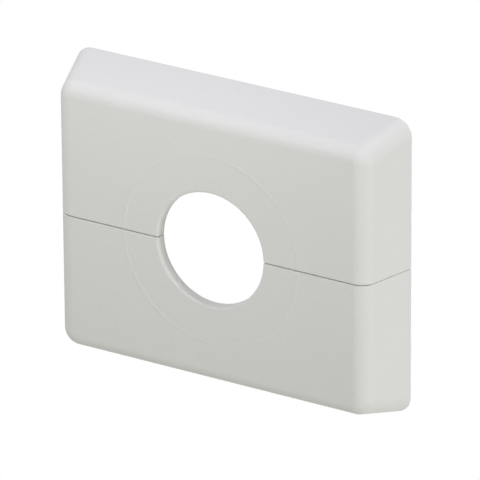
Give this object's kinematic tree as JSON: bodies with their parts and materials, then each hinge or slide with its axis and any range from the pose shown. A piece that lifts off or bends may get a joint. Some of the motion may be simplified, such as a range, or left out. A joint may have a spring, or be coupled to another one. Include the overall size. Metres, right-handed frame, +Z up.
{
  "type": "pipe rosette",
  "caption": "Split rectangular wall cover for a pipe: a drafted, round-edged white plastic shell, open at the back, whose like halves plug together round the pipe.",
  "frame": {"origin": "on the axis of the pipe hole, in the plane of the inside face of the front wall", "axes": "+Z up, square to the joint line between the halves; -Y out of the front face, the way the pipe comes out of the wall; +X to the right seen from the front"},
  "size_m": [0.07, 0.0113, 0.0572],
  "materials": {
    "white_plastic": "satin moulded white"
  },
  "bodies": {
    "lower": {"lower_half": "white_plastic"},
    "upper": {"upper_half": "white_plastic"}
  },
  "joints": [
    {"name": "halves_apart", "type": "slide", "parent": "lower", "child": "upper", "axis": [0, 0, 1], "range_m": [0, 0.03]}
  ]
}
